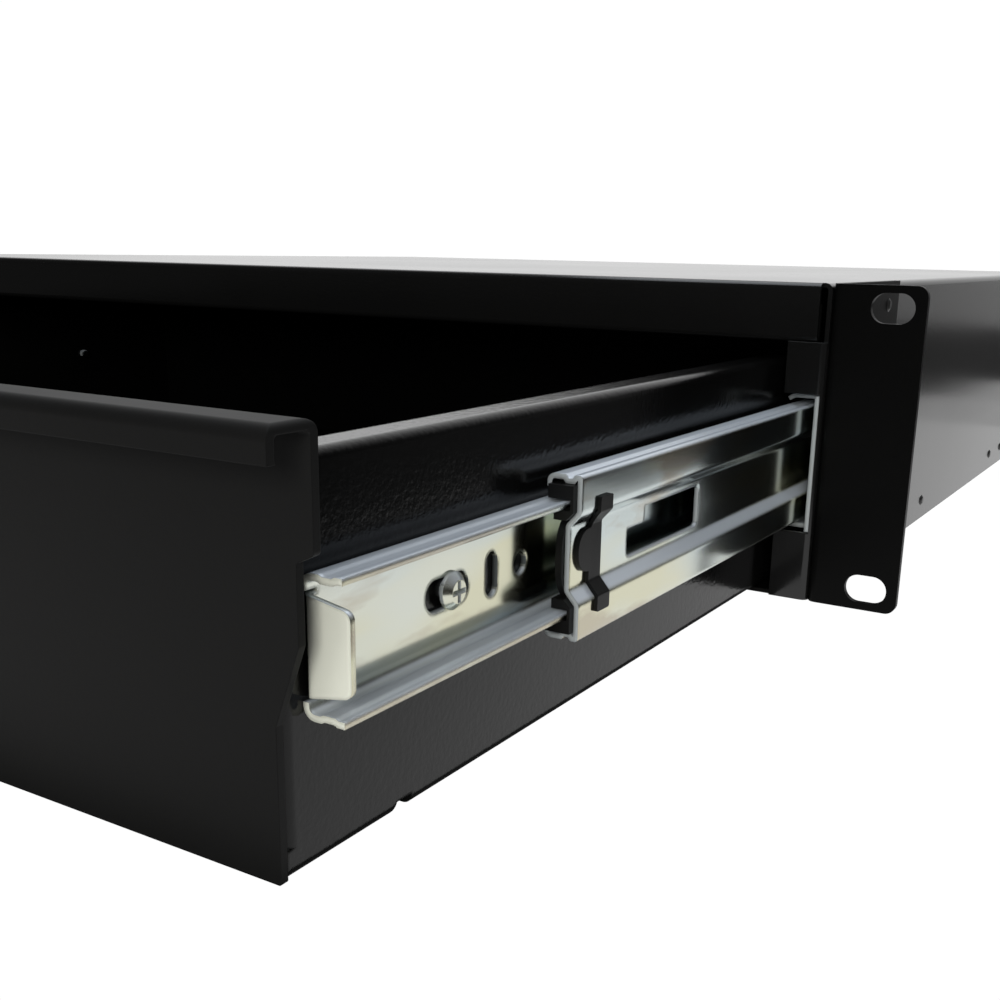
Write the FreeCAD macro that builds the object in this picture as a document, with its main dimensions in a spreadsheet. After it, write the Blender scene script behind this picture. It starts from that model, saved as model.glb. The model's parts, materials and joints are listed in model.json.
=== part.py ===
import FreeCAD, Part
import math
import os

import Sketcher

# Sliding rack drawer, two rack units high, on a pair of three-section ball-bearing slides.
#
# Frame: X runs across the rack, Y runs into it and Z is up, in millimetres. The origin is the
# centre of the four rack slots, on the front face of the ears. The drawer is modelled partly
# pulled out, and the "pull" sizes say how far each stage of the slides stands from closed.
#
# Heights called "up" are measured from the middle of the panel height. A slide's own section
# uses two coordinates: "in" is the distance from the chassis wall towards the drawer, and
# "off" is the height above the slide's centre line.

SIZES = {
    # rack interface
    "panel_height": 88.1,
    "slot_inset": 16.25,
    "slot_edge": 8.75,
    "slot_margin": 5.95,
    "slot_length": 11.6,
    "slot_width": 7.9,
    "ear_sheet": 2.0,
    "ear_bend": 0.4,
    "ear_leg": 62.0,
    "ear_corner": 3.0,
    # chassis
    "chassis_width": 432.6,
    "chassis_rear_room": 45.0,
    "chassis_sheet": 1.2,
    "chassis_bend": 0.8,
    "flange_reach": 11.2,
    "rail_height": 15.7,
    "rail_end_gap": 3.3,
    "rail_notch": 1.0,
    "hem_depth": 3.0,
    "hem_return": 10.0,
    "bottom_flange": 13.0,
    "rear_flange": 12.0,
    "rear_flange_height": 60.0,
    # drawer
    "drawer_pull": 202.0,
    "drawer_extra_length": 5.0,
    "drawer_sheet": 1.2,
    "drawer_bend": 0.8,
    "drawer_lift": 2.5,
    "side_height": 64.9,
    "side_flange": 7.5,
    "front_flange": 12.0,
    "front_flange_margin": 5.0,
    "panel_sheet": 1.5,
    "panel_bend": 0.7,
    "panel_rise": 71.1,
    "panel_clearance": 0.5,
    "panel_wing": 8.0,
    "wing_step": 3.2,
    "wing_low": 38.7,
    "wing_slant": 13.0,
    "wing_top_part": 18.7,
    "lip_reach": 10.0,
    "lip_drop": 5.3,
    "notch_setback": 25.5,
    "notch_length": 6.0,
    "notch_height": 2.2,
    # slides
    "slide_space": 12.7,
    "slide_height": 38.0,
    "slide_drop": 5.15,
    "slide_setback": 5.0,
    "slide_window_gap": 0.4,
    "slide_length": 350.0,
    "outer_sheet": 1.2,
    "outer_reach": 10.4,
    "outer_lip": 1.1,
    "middle_shortfall": 6.0,
    "middle_sheet": 1.0,
    "middle_setback": 8.2,
    "middle_pull": 138.8,
    "middle_height": 32.4,
    "middle_reach": 10.4,
    "middle_band": 2.9,
    "middle_web": 5.2,
    "band_edge": 8.8,
    "web_edge": 6.2,
    "track_depth": 0.7,
    "track_width": 0.9,
    "track_inset": 2.6,
    "window_start": 24.6,
    "window_length": 37.0,
    "window_height": 9.5,
    "lance_length": 8.2,
    "lance_height": 3.4,
    "inner_sheet": 1.1,
    "inner_setback": 4.0,
    "inner_height": 22.8,
    "inner_reach": 7.8,
    "inner_track": 0.3,
    "tab_reach": 9.2,
    "tab_height": 16.6,
    "tab_taper": 1.8,
    "tab_relief": 0.3,
    "tab_setback": 2.4,
    "stop_reach": 7.0,
    "stop_height": 10.0,
    "adjusting_slot_front": 7.5,
    "adjusting_slot_rear": 5.5,
    "adjusting_slot_height": 5.7,
    "upright_slot_offset": 11.0,
    "upright_slot_width": 4.0,
    "upright_slot_height": 8.4,
    "round_hole_offset": 22.9,
    "round_hole_radius": 2.2,
    # balls and their cages
    "outer_ball_radius": 1.0,
    "inner_ball_radius": 1.5,
    "ball_play": 0.15,
    "cage_margin": 6.0,
    "outer_cage_sheet": 0.4,
    "outer_cage_length": 166.0,
    "outer_cage_closed": 95.0,
    "inner_cage_sheet": 0.35,
    "inner_cage_length": 153.0,
    "inner_cage_closed": 102.0,
    # end clip of the middle member
    "clip_depth": 9.0,
    "clip_lever": 0.7,
    "clip_nose": 1.6,
    "clip_play": 0.35,
    "neck_setback": 3.5,
    "neck_length": 3.4,
    "neck_height": 4.9,
    "neck_play": 0.05,
    "bumper_bow": 1.2,
    "bumper_sheet": 0.9,
    "bumper_width": 1.35,
    # fasteners
    "screw_pitch": 128.0,
    "screw_setback": 37.0,
    "screw_radius": 2.0,
    "screw_head_radius": 3.4,
    "screw_head_height": 1.8,
    "rivet_radius": 1.3,
    "rivet_head_radius": 2.0,
    "rivet_head_height": 0.6,
    "rivet_tail": 1.2,
    "screw_bite": 0.6,
    "rivet_margin": 7.05,
}
ROW_BALLS = 4
RIVET_ROW = {"first_rivet": 133.3, "second_rivet": 264.6, "third_rivet": 291.7}
EAR_ROW = {"ear_rivet_front": 22.0, "ear_rivet_rear": 51.0}
SIZES.update(RIVET_ROW)
SIZES.update(EAR_ROW)

PLANES = {
    "XZ": FreeCAD.Rotation(FreeCAD.Vector(1, 0, 0), 90),
    "YZ": FreeCAD.Rotation(FreeCAD.Vector(1, 1, 1), 120),
    "XY": FreeCAD.Rotation(),
}
NORMALS = {"XZ": (0, 1, 0), "YZ": (1, 0, 0), "XY": (0, 0, 1)}
AXIS_OF = {"XZ": "y", "YZ": "x", "XY": "z"}

doc = FreeCAD.newDocument("rack_drawer")
sheet = doc.addObject("Spreadsheet::Sheet", "sizes")
for row, (alias, value) in enumerate(SIZES.items(), start=1):
    sheet.set(f"A{row}", alias)
    sheet.set(f"B{row}", str(value))
    sheet.setAlias(f"B{row}", alias)
doc.recompute()


class Size:
    """A length, kept both as its value and as the expression over the sheet's cells behind it."""

    def __init__(self, value, text, plain=False):
        self.value = float(value)
        self.text = text
        self.plain = plain

    @staticmethod
    def of(item):
        if isinstance(item, Size):
            return item
        return Size(item, f"{item:.6f}" if item >= 0 else f"(0 - {-item:.6f})", True)

    def nil(self):
        return self.plain and self.value == 0

    def joined(self, sign, other):
        other = Size.of(other)
        value = self.value + sign * other.value
        if other.nil():
            return self
        if self.plain and other.plain:
            return Size.of(value)
        if self.nil() and sign > 0:
            return other
        return Size(value, f"({self.text} {'+' if sign > 0 else '-'} {other.text})")

    def __add__(self, other):
        return self.joined(1, other)

    def __sub__(self, other):
        return self.joined(-1, other)

    def __mul__(self, other):
        other = Size.of(other)
        value = self.value * other.value
        if self.plain and other.plain or self.nil() or other.nil():
            return Size.of(value)
        for one, rest in ((self, other), (other, self)):
            if one.plain and abs(one.value) == 1:
                return rest if one.value > 0 else -rest
        return Size(value, f"({self.text} * {other.text})")

    def __truediv__(self, other):
        other = Size.of(other)
        if other.plain and other.value == 1:
            return self
        return Size(self.value / other.value, f"({self.text} / {other.text})")

    def __radd__(self, other):
        return Size.of(other) + self

    def __rsub__(self, other):
        return Size.of(other) - self

    def __rmul__(self, other):
        return Size.of(other) * self

    def __neg__(self):
        return Size.of(0).joined(-1, self)

    def root(self):
        return Size(math.sqrt(self.value), f"sqrt({self.text})")


def size(alias):
    return Size(sheet.get(alias), f"sizes.{alias}")


def bind(thing, **properties):
    """Tie properties to sizes; a double underscore in a name stands for a dot."""
    for name, item in properties.items():
        thing.setExpression(name.replace("__", "."), Size.of(item).text)
    return thing


def bind_place(thing, **axes):
    for axis, item in axes.items():
        thing.setExpression(f"Placement.Base.{axis}", Size.of(item).text)
    return thing


# --- sketches -------------------------------------------------------------------------------


def corner_arc(before, corner, after, radius):
    """End points, centre and turn direction of the arc that rounds a corner."""
    towards_before = (before - corner).normalize()
    towards_after = (after - corner).normalize()
    half_angle = towards_before.getAngle(towards_after) / 2
    run = radius / math.tan(half_angle)
    start = corner + towards_before * run
    end = corner + towards_after * run
    centre = corner + (towards_before + towards_after).normalize() * (radius / math.sin(half_angle))
    turns_left = (start - centre).cross(end - centre).z > 0
    return start, end, centre, turns_left


def draw(sketch, corners, closed):
    """Draw a run of straight lines through corners (x, y[, radius]), all fixed by sizes."""
    points = [FreeCAD.Vector(Size.of(c[0]).value, Size.of(c[1]).value, 0) for c in corners]
    count = len(points)
    rounded = {}
    ends = {}
    for i, corner in enumerate(corners):
        if len(corner) == 3:
            radius = Size.of(corner[2])
            rounded[i] = corner_arc(points[i - 1], points[i], points[(i + 1) % count], radius.value)
            ends[i] = rounded[i][:2]
        else:
            ends[i] = (points[i], points[i])
    lines = {}
    for i in range(count if closed else count - 1):
        segment = Part.LineSegment(ends[i][1], ends[(i + 1) % count][0])
        lines[i] = sketch.addGeometry(segment, False)

    def fix(geometry, point, corner):
        for kind, item, axis in (("DistanceX", corner[0], -2), ("DistanceY", corner[1], -1)):
            item = Size.of(item)
            if abs(item.value) < 1e-9:
                sketch.addConstraint(Sketcher.Constraint("PointOnObject", geometry, point, axis))
                continue
            rule = Sketcher.Constraint(kind, -1, 1, geometry, point, item.value)
            index = sketch.addConstraint(rule)
            sketch.setExpression(f"Constraints[{index}]", item.text)

    for i, corner in enumerate(corners):
        before = lines.get((i - 1) % count if closed else i - 1)
        after = lines.get(i)
        if i in rounded:
            start, end, centre, turns_left = rounded[i]
            radius = Size.of(corner[2])
            angles = [math.atan2(p.y - centre.y, p.x - centre.x) for p in (start, end)]
            if not turns_left:
                angles.reverse()
            circle = Part.Circle(centre, FreeCAD.Vector(0, 0, 1), radius.value)
            arc = sketch.addGeometry(Part.ArcOfCircle(circle, *angles), False)
            apex = sketch.addGeometry(Part.Point(points[i]), True)
            first, last = (1, 2) if turns_left else (2, 1)
            sketch.addConstraint(Sketcher.Constraint("Tangent", before, 2, arc, first))
            sketch.addConstraint(Sketcher.Constraint("Tangent", arc, last, after, 1))
            sketch.addConstraint(Sketcher.Constraint("PointOnObject", apex, 1, before))
            sketch.addConstraint(Sketcher.Constraint("PointOnObject", apex, 1, after))
            index = sketch.addConstraint(Sketcher.Constraint("Radius", arc, radius.value))
            sketch.setExpression(f"Constraints[{index}]", radius.text)
            fix(apex, 1, corner)
            continue
        if before is not None and after is not None:
            sketch.addConstraint(Sketcher.Constraint("Coincident", before, 2, after, 1))
        if after is not None:
            fix(after, 1, corner)
        else:
            fix(before, 2, corner)
    return sketch


def flat_sketch(name, plane, start, loops, closed):
    sketch = doc.addObject("Sketcher::SketchObject", f"{name}_sketch")
    sketch.Placement = FreeCAD.Placement(FreeCAD.Vector(), PLANES[plane])
    bind_place(sketch, **{AXIS_OF[plane]: start})
    for loop in loops:
        draw(sketch, loop, closed)
    return sketch


def extrude(name, base, plane, length):
    solid = doc.addObject("Part::Extrusion", name)
    solid.Base = base
    solid.DirMode = "Custom"
    solid.Dir = FreeCAD.Vector(*NORMALS[plane])
    solid.Solid = True
    return bind(solid, LengthFwd=length)


def block(name, plane, start, length, *loops):
    """A solid whose closed outline lies in a plane; further loops are holes through it."""
    return extrude(name, flat_sketch(name, plane, start, loops, True), plane, length)


def leftward(start, end):
    """Unit vector to the left of the way from one corner to the next."""
    run, rise = end[0] - start[0], end[1] - start[1]
    if abs(run.value) < 1e-9:
        return Size.of(-1 if rise.value > 0 else 1), Size.of(0)
    if abs(rise.value) < 1e-9:
        return Size.of(0), Size.of(1 if run.value > 0 else -1)
    length = (run * run + rise * rise).root()
    return -rise / length, run / length


def beside(path, thickness):
    """The path that runs at one sheet's thickness to the left of the given one."""
    path = [(Size.of(c[0]), Size.of(c[1]), *c[2:]) for c in path]
    sides = [leftward(a, b) for a, b in zip(path, path[1:])]
    moved = []
    for i, corner in enumerate(path):
        before, after = sides[max(i - 1, 0)], sides[min(i, len(sides) - 1)]
        if 0 < i < len(sides):
            share = before[0] * after[0] + before[1] * after[1] + 1
            across_both = before[0] + after[0], before[1] + after[1]
            turn = before[0].value * after[1].value - before[1].value * after[0].value
        else:
            share, across_both, turn = Size.of(1), after, 0
        place = [corner[k] + across_both[k] * thickness / share for k in (0, 1)]
        if len(corner) == 3:
            radius = corner[2] - thickness if turn > 0 else corner[2] + thickness
            if radius.value > 0.05:
                place.append(radius)
        moved.append(tuple(place))
    return moved


def strip(name, plane, start, length, path, thickness):
    """Bent sheet: one of its faces follows the path, and the metal lies to the left of it."""
    outline = list(path) + beside(path, thickness)[::-1]
    return block(name, plane, start, length, outline)


def box(name, low, high):
    """A plain block between two corners."""
    solid = doc.addObject("Part::Box", name)
    bind(solid, Length=high[0] - low[0], Width=high[1] - low[1], Height=high[2] - low[2])
    return bind_place(solid, x=low[0], y=low[1], z=low[2])


ALONG_X = FreeCAD.Rotation(FreeCAD.Vector(0, 1, 0), 90)


def rod_across(name, y, z, radius, low_x, high_x):
    """A cylinder that lies across the rack."""
    rod = doc.addObject("Part::Cylinder", name)
    bind(rod, Radius=radius, Height=high_x - low_x)
    rod.Placement = FreeCAD.Placement(FreeCAD.Vector(), ALONG_X)
    return bind_place(rod, x=low_x, y=y, z=z)


def fuse(name, *shapes):
    joined = doc.addObject("Part::MultiFuse", name)
    joined.Shapes = list(shapes)
    return joined


def cut(name, base, *tools):
    tool = tools[0] if len(tools) == 1 else fuse(f"{name}_tools", *tools)
    rest = doc.addObject("Part::Cut", name)
    rest.Base = base
    rest.Tool = tool
    return rest


def common(name, first, second):
    shared = doc.addObject("Part::Common", name)
    shared.Base = first
    shared.Tool = second
    return shared


def mirrored(name, source):
    other = doc.addObject("Part::Mirroring", name)
    other.Source = source
    other.Normal = FreeCAD.Vector(1, 0, 0)
    return other


def group(name, members):
    """Separate solids that share one name."""
    whole = doc.addObject("Part::Compound", name)
    whole.Links = members
    return whole


def copy_at(name, source, x, y, z, turned=False):
    """One more of the same piece; a turned one faces the other way across the rack."""
    link = doc.addObject("App::Link", name)
    link.LinkedObject = source
    turn = FreeCAD.Rotation(FreeCAD.Vector(0, 0, 1), 180 if turned else 0)
    link.Placement = FreeCAD.Placement(FreeCAD.Vector(), turn)
    return bind_place(link, x=x, y=y, z=z)


NODES = {}


def node(name, thing):
    thing.Label = name
    NODES[name] = thing
    return thing


# --- shared places --------------------------------------------------------------------------

EXTRA = 1.0
ROUND_END = 0.02  # short flat left between the two corner arcs of a slot end
TOP = size("panel_height") / 2
HALF = size("chassis_width") / 2
SLOT_ACROSS = HALF + size("slot_inset")
SLOT_UP = TOP - size("slot_margin")
EAR_EDGE = SLOT_ACROSS + size("slot_edge")
WALL_INNER = HALF - size("chassis_sheet")
CHASSIS_CORNER = size("chassis_bend") + size("chassis_sheet")
RAIL_BOTTOM = TOP - size("rail_height")
RAIL_HALF = HALF - size("rail_end_gap")
FLANGE_EDGE = HALF - size("flange_reach")
SIDE = WALL_INNER - size("slide_space")
DRAWER_BOTTOM = size("drawer_lift") - TOP
DRAWER_TOP = DRAWER_BOTTOM + size("side_height")
PANEL_TOP = DRAWER_BOTTOM + size("panel_rise")
PANEL_BACK = -(size("drawer_pull") + size("panel_clearance"))
PANEL_FRONT = PANEL_BACK - size("panel_sheet")
DRAWER_LENGTH = size("slide_length") + size("drawer_extra_length")
MIDDLE_LENGTH = size("slide_length") - size("middle_shortfall")
CHASSIS_DEPTH = size("slide_setback") + size("slide_length") + size("chassis_rear_room")
DRAWER_REAR = PANEL_BACK + DRAWER_LENGTH
SLIDE_UP = -size("slide_drop")
OUTER_FRONT = size("slide_setback")
MIDDLE_FRONT = size("middle_setback") - size("middle_pull")
NECK_FRONT = MIDDLE_FRONT + size("neck_setback")
INNER_FRONT = size("inner_setback") - size("drawer_pull")
RIVET_LINE = size("rivet_margin") - TOP


def across(inward):
    """The X of a point that lies so far in from the right-hand chassis wall."""
    return WALL_INNER - inward


def section(*corners):
    """Turn (in, off[, radius]) corners of a slide's section into (x, z[, radius])."""
    return [(across(c[0]), SLIDE_UP + c[1], *c[2:]) for c in corners]


# --- chassis --------------------------------------------------------------------------------


def make_shell():
    walls = strip("shell_walls", "XZ", 0, CHASSIS_DEPTH, [
        (HALF, -TOP),
        (HALF, TOP, CHASSIS_CORNER),
        (-HALF, TOP, CHASSIS_CORNER),
        (-HALF, -TOP),
    ], size("chassis_sheet"))
    rail = strip("front_rail", "YZ", -RAIL_HALF, RAIL_HALF * 2, [
        (CHASSIS_CORNER + EXTRA, TOP),
        (0, TOP, CHASSIS_CORNER),
        (0, RAIL_BOTTOM, size("hem_depth") / 2 - 0.05),
        (size("hem_depth"), RAIL_BOTTOM, size("hem_depth") / 2 - 0.05),
        (size("hem_depth"), RAIL_BOTTOM + size("hem_return")),
    ], size("chassis_sheet"))
    notch = RAIL_HALF + size("rail_notch")
    rail_room = box("rail_room", (-notch, -Size.of(EXTRA), TOP - CHASSIS_CORNER),
                    (notch, CHASSIS_CORNER, TOP + EXTRA))
    flange_room = box("flange_room", (-HALF - EXTRA, -Size.of(EXTRA), -TOP - EXTRA),
                      (HALF + EXTRA, CHASSIS_CORNER, RAIL_BOTTOM))
    body = cut("shell_body", walls, rail_room, flange_room)
    flange = strip("front_flange", "XY", -TOP, TOP + RAIL_BOTTOM, [
        (FLANGE_EDGE, 0),
        (HALF, 0, CHASSIS_CORNER),
        (HALF, CHASSIS_CORNER + EXTRA),
    ], size("chassis_sheet"))
    reach = size("slide_height") / 2 + size("slide_window_gap")
    window = box("slide_window", (FLANGE_EDGE - EXTRA, -Size.of(EXTRA), SLIDE_UP - reach),
                 (WALL_INNER, CHASSIS_CORNER + EXTRA, SLIDE_UP + reach))
    flange_right = cut("front_flange_right", flange, window)
    flange_left = mirrored("front_flange_left", flange_right)
    shell = fuse("shell_blank", body, rail, flange_right, flange_left)
    return cut("shell", shell, *wall_holes("shell"))


def wall_holes(owner):
    """Rods that cut the fastener holes through both side walls at once."""
    low, high = -HALF - EXTRA, HALF + EXTRA
    rods = []
    for alias in RIVET_ROW:
        rods.append(rod_across(f"{owner}_{alias}", size(alias), RIVET_LINE, size("rivet_radius"), low, high))
    for alias in EAR_ROW:
        for side_name, up in (("low", RIVET_LINE), ("high", -RIVET_LINE)):
            rods.append(rod_across(f"{owner}_{alias}_{side_name}", size(alias), up,
                                   size("rivet_radius"), low, high))
    for index, place in enumerate(rear_rivet_places()):
        rods.append(rod_across(f"{owner}_rear_rivet_{index}", place[0], place[1],
                               size("rivet_radius"), low, high))
    depth = WALL_INNER + size("screw_bite")
    for index, y in enumerate(screw_places(OUTER_FRONT)):
        rods.append(rod_across(f"{owner}_slide_screw_{index}", y, SLIDE_UP, size("screw_radius"), -depth, depth))
    return rods


def rear_rivet_places():
    y = CHASSIS_DEPTH - size("rear_flange") / 2
    reach = size("rear_flange_height") / 3
    return [(y, -reach), (y, reach)]


def screw_places(front):
    first = front + size("screw_setback")
    return [first, first + size("screw_pitch"), first + size("screw_pitch") * 2]


def make_bottom():
    corner = CHASSIS_CORNER
    plate = strip("bottom_plate_blank", "XZ", size("chassis_sheet"),
                  CHASSIS_DEPTH - size("chassis_sheet") * 2, [
        (-WALL_INNER, size("bottom_flange") - TOP),
        (-WALL_INNER, -TOP, corner),
        (WALL_INNER, -TOP, corner),
        (WALL_INNER, size("bottom_flange") - TOP),
    ], size("chassis_sheet"))
    low, high = -HALF - EXTRA, HALF + EXTRA
    rods = []
    for alias in list(RIVET_ROW) + list(EAR_ROW):
        rods.append(rod_across(f"bottom_{alias}", size(alias), RIVET_LINE, size("rivet_radius"), low, high))
    return cut("bottom_plate", plate, *rods)


def make_rear():
    rear = CHASSIS_DEPTH
    plate = block("rear_plate", "XZ", rear - size("chassis_sheet"), size("chassis_sheet"), [
        (-WALL_INNER, -TOP),
        (WALL_INNER, -TOP),
        (WALL_INNER, TOP - size("chassis_sheet"), size("chassis_bend") + 0.2),
        (-WALL_INNER, TOP - size("chassis_sheet"), size("chassis_bend") + 0.2),
    ])
    reach = size("rear_flange_height") / 2
    flange = box("rear_flange_right",
                 (WALL_INNER - size("chassis_sheet"), rear - size("rear_flange"), -reach),
                 (WALL_INNER, rear - size("chassis_sheet"), reach))
    other = mirrored("rear_flange_left", flange)
    blank = fuse("rear_panel_blank", plate, flange, other)
    rods = [rod_across(f"rear_hole_{i}", y, z, size("rivet_radius"), -HALF, HALF)
            for i, (y, z) in enumerate(rear_rivet_places())]
    return cut("rear_panel", blank, *rods)


# --- rack ears: a folded bracket with two obround slots ----------------------------------------


def origin_plane(body, role):
    return next(plane for plane in body.Origin.OriginFeatures if plane.Role == role)


def body_sketch(body, name, role, start, loops):
    sketch = body.newObject("Sketcher::SketchObject", name)
    sketch.AttachmentSupport = [(origin_plane(body, role), "")]
    sketch.MapMode = "FlatFace"
    sketch.setExpression("AttachmentOffset.Base.z", Size.of(start).text)
    for loop in loops:
        draw(sketch, loop, True)
    return sketch


def edges_at(shape, test):
    return [f"Edge{i}" for i, edge in enumerate(shape.Edges, start=1) if test(edge)]


def make_ear(name):
    body = doc.addObject("PartDesign::Body", name)
    edge = EAR_EDGE
    outer_corner = size("ear_bend") + size("ear_sheet")
    fold = body_sketch(body, f"{name}_fold", "XY_Plane", -TOP, [[
        (HALF, size("ear_leg")),
        (HALF, 0, outer_corner),
        (edge, 0),
        (edge, size("ear_sheet")),
        (HALF + size("ear_sheet"), size("ear_sheet"), size("ear_bend")),
        (HALF + size("ear_sheet"), size("ear_leg")),
    ]])
    pad = body.newObject("PartDesign::Pad", f"{name}_pad")
    pad.Profile = fold
    bind(pad, Length=size("panel_height"))
    doc.recompute()
    reach = size("slot_length") / 2
    round_end = size("slot_width") / 2
    middle = SLOT_ACROSS
    slots = []
    for up in (-SLOT_UP, SLOT_UP):
        slots.append([
            (middle - reach, up - round_end, round_end - 0.01),
            (middle + reach, up - round_end, round_end - 0.01),
            (middle + reach, up + round_end, round_end - 0.01),
            (middle - reach, up + round_end, round_end - 0.01),
        ])
    outline = body_sketch(body, f"{name}_slots", "XZ_Plane", size("ear_sheet"), slots)
    before = pad.Shape.Volume
    pocket = body.newObject("PartDesign::Pocket", f"{name}_pocket")
    pocket.Profile = outline
    pocket.Type = "ThroughAll"
    pocket.Midplane = True
    doc.recompute()
    if pocket.Shape.Volume > before - 1:
        raise RuntimeError("the rack slots cut nothing")
    far = edge.value

    def is_outer_corner(item):
        box_of = item.BoundBox
        return box_of.XMin > far - 0.01 and box_of.XLength < 0.01 and box_of.ZLength < 0.01

    fillet = body.newObject("PartDesign::Fillet", f"{name}_corners")
    fillet.Base = (pocket, edges_at(pocket.Shape, is_outer_corner))
    bind(fillet, Radius=size("ear_corner"))
    doc.recompute()
    return body


def make_ears():
    right = make_ear("ear_blank")
    rods = []
    for alias in EAR_ROW:
        for side_name, up in (("low", RIVET_LINE), ("high", -RIVET_LINE)):
            rods.append(rod_across(f"ear_hole_{alias}_{side_name}", size(alias), up,
                                   size("rivet_radius"), HALF - EXTRA, HALF + size("ear_sheet") + EXTRA))
    right = cut("ear_right", right, *rods)
    return right, mirrored("ear_left", right)


# --- slides ---------------------------------------------------------------------------------

HALF_SLIDE = size("slide_height") / 2
HALF_MIDDLE = size("middle_height") / 2
HALF_INNER = size("inner_height") / 2
TRACK_IN = size("middle_band") + size("track_inset")
INNER_BALL = size("inner_ball_radius") + size("ball_play")
INNER_TRACK_IN = size("middle_reach") - size("middle_sheet") - INNER_BALL
OUTER_BALL_OFF = HALF_SLIDE - size("outer_sheet") - size("ball_play") - size("outer_ball_radius")
INNER_BALL_OFF = HALF_MIDDLE - size("middle_sheet") - INNER_BALL


def both_ways(half):
    """A path given from the centre line to its upper end, made whole from its lower end up."""
    upper = list(half)
    lower = [(c[0], -c[1], *c[2:]) for c in upper]
    return lower[::-1] + upper


def make_outer():
    lip = size("outer_lip")
    path = both_ways([
        (Size.of(0), HALF_SLIDE, 2.0),
        (size("outer_reach") - 1.8, HALF_SLIDE, 1.5),
        (size("outer_reach"), HALF_SLIDE - lip),
    ])
    channel = strip("outer_channel", "XZ", OUTER_FRONT, size("slide_length"),
                    section(*path), size("outer_sheet"))
    rear = OUTER_FRONT + size("slide_length")
    reach = size("stop_height") / 2
    room = box("stop_room", (across(size("outer_sheet") + EXTRA), rear - 4, SLIDE_UP - reach - 0.5),
               (across(-Size.of(EXTRA)), rear + EXTRA, SLIDE_UP + reach + 0.5))
    stop = strip("outer_stop", "XY", SLIDE_UP - reach, size("stop_height"), [
        (across(Size.of(0)), rear - 4),
        (across(Size.of(0)), rear, size("outer_sheet") + 0.8),
        (across(size("stop_reach")), rear),
    ], size("outer_sheet"))
    blank = fuse("outer_blank", cut("outer_open", channel, room), stop)
    holes = [rod_across(f"outer_hole_{i}", y, SLIDE_UP, size("screw_radius"),
                        across(size("outer_sheet") + EXTRA), across(-Size.of(EXTRA)))
             for i, y in enumerate(screw_places(OUTER_FRONT))]
    return cut("outer_member", blank, *holes)


def middle_half():
    """The upper half of the middle member's face that looks at the outer member."""
    floor = HALF_MIDDLE - size("track_depth")
    flat = size("track_width") / 2
    reach = size("middle_reach")
    return [
        (size("middle_web"), size("web_edge"), 0.8),
        (size("middle_band"), size("band_edge"), 1.4),
        (size("middle_band"), HALF_MIDDLE, 0.7),
        (TRACK_IN - flat - 0.5, HALF_MIDDLE),
        (TRACK_IN - flat, floor),
        (TRACK_IN + flat, floor),
        (TRACK_IN + flat + 0.5, HALF_MIDDLE),
        (reach, HALF_MIDDLE, size("middle_sheet") + 0.6),
        (reach, HALF_MIDDLE - 2.6),
    ]


def make_middle():
    channel = strip("middle_channel", "XZ", MIDDLE_FRONT, MIDDLE_LENGTH,
                    section(*both_ways(middle_half())), size("middle_sheet"))
    start = MIDDLE_FRONT + size("window_start")
    end = start + size("window_length")
    reach = size("window_height") / 2
    low_x, high_x = across(size("middle_web") + size("middle_sheet") + EXTRA), across(size("middle_band") - EXTRA)
    window = block("middle_window", "YZ", low_x, high_x - low_x, [
        (start, SLIDE_UP - reach, 1.5),
        (end, SLIDE_UP - reach, 1.5),
        (end, SLIDE_UP + reach, 1.5),
        (start + size("lance_length"), SLIDE_UP + reach, 0.4),
        (start + size("lance_length"), SLIDE_UP + reach - size("lance_height"), 0.8),
        (start, SLIDE_UP + reach - size("lance_height"), 0.4),
    ])
    neck = size("neck_height") / 2 + size("neck_play")
    catch = box("middle_catch", (low_x, NECK_FRONT - size("neck_play"), SLIDE_UP - neck),
                (high_x, NECK_FRONT + size("neck_length") + size("neck_play"), SLIDE_UP + neck))
    return cut("middle_member", channel, window, catch)


def make_inner():
    reach = size("inner_reach")
    base = size("slide_space")
    dip = HALF_INNER - size("inner_track")
    path = both_ways([
        (base, HALF_INNER, 2.2),
        (INNER_TRACK_IN + 1.5, HALF_INNER),
        (INNER_TRACK_IN + 0.9, dip),
        (INNER_TRACK_IN - 0.9, dip),
        (INNER_TRACK_IN - 1.5, HALF_INNER),
        (base - reach, HALF_INNER),
    ])
    path = path[::-1]
    channel = strip("inner_channel", "XZ", INNER_FRONT, size("slide_length"),
                    section(*path), size("inner_sheet"))
    half_tab = size("tab_height") / 2
    room = box("tab_room", (across(base + EXTRA), INNER_FRONT - EXTRA, SLIDE_UP - half_tab - size("tab_relief")),
               (across(base - size("inner_sheet") - EXTRA), INNER_FRONT + size("tab_setback"),
                SLIDE_UP + half_tab + size("tab_relief")))
    tab_fold = strip("tab_fold", "XY", SLIDE_UP - half_tab, size("tab_height"), [
        (across(base), INNER_FRONT + size("tab_setback")),
        (across(base), INNER_FRONT, size("inner_sheet") + 0.8),
        (across(base) + size("tab_reach"), INNER_FRONT),
    ], size("inner_sheet"))
    tab_face = block("tab_face", "XZ", INNER_FRONT - EXTRA, 6, [
        (across(base) - EXTRA, SLIDE_UP - half_tab),
        (across(base) + size("tab_reach"), SLIDE_UP - half_tab + size("tab_taper"), 1.6),
        (across(base) + size("tab_reach"), SLIDE_UP + half_tab - size("tab_taper"), 1.6),
        (across(base) - EXTRA, SLIDE_UP + half_tab),
    ])
    tab = common("tab", tab_fold, tab_face)
    blank = fuse("inner_blank", cut("inner_open", channel, room), tab)
    return cut("inner_member", blank, *inner_openings())


def obround(start, end, low, high, radius):
    """Corners of a slot in the side view, with fully round ends."""
    return [(start, low, radius), (end, low, radius), (end, high, radius), (start, high, radius)]


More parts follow.
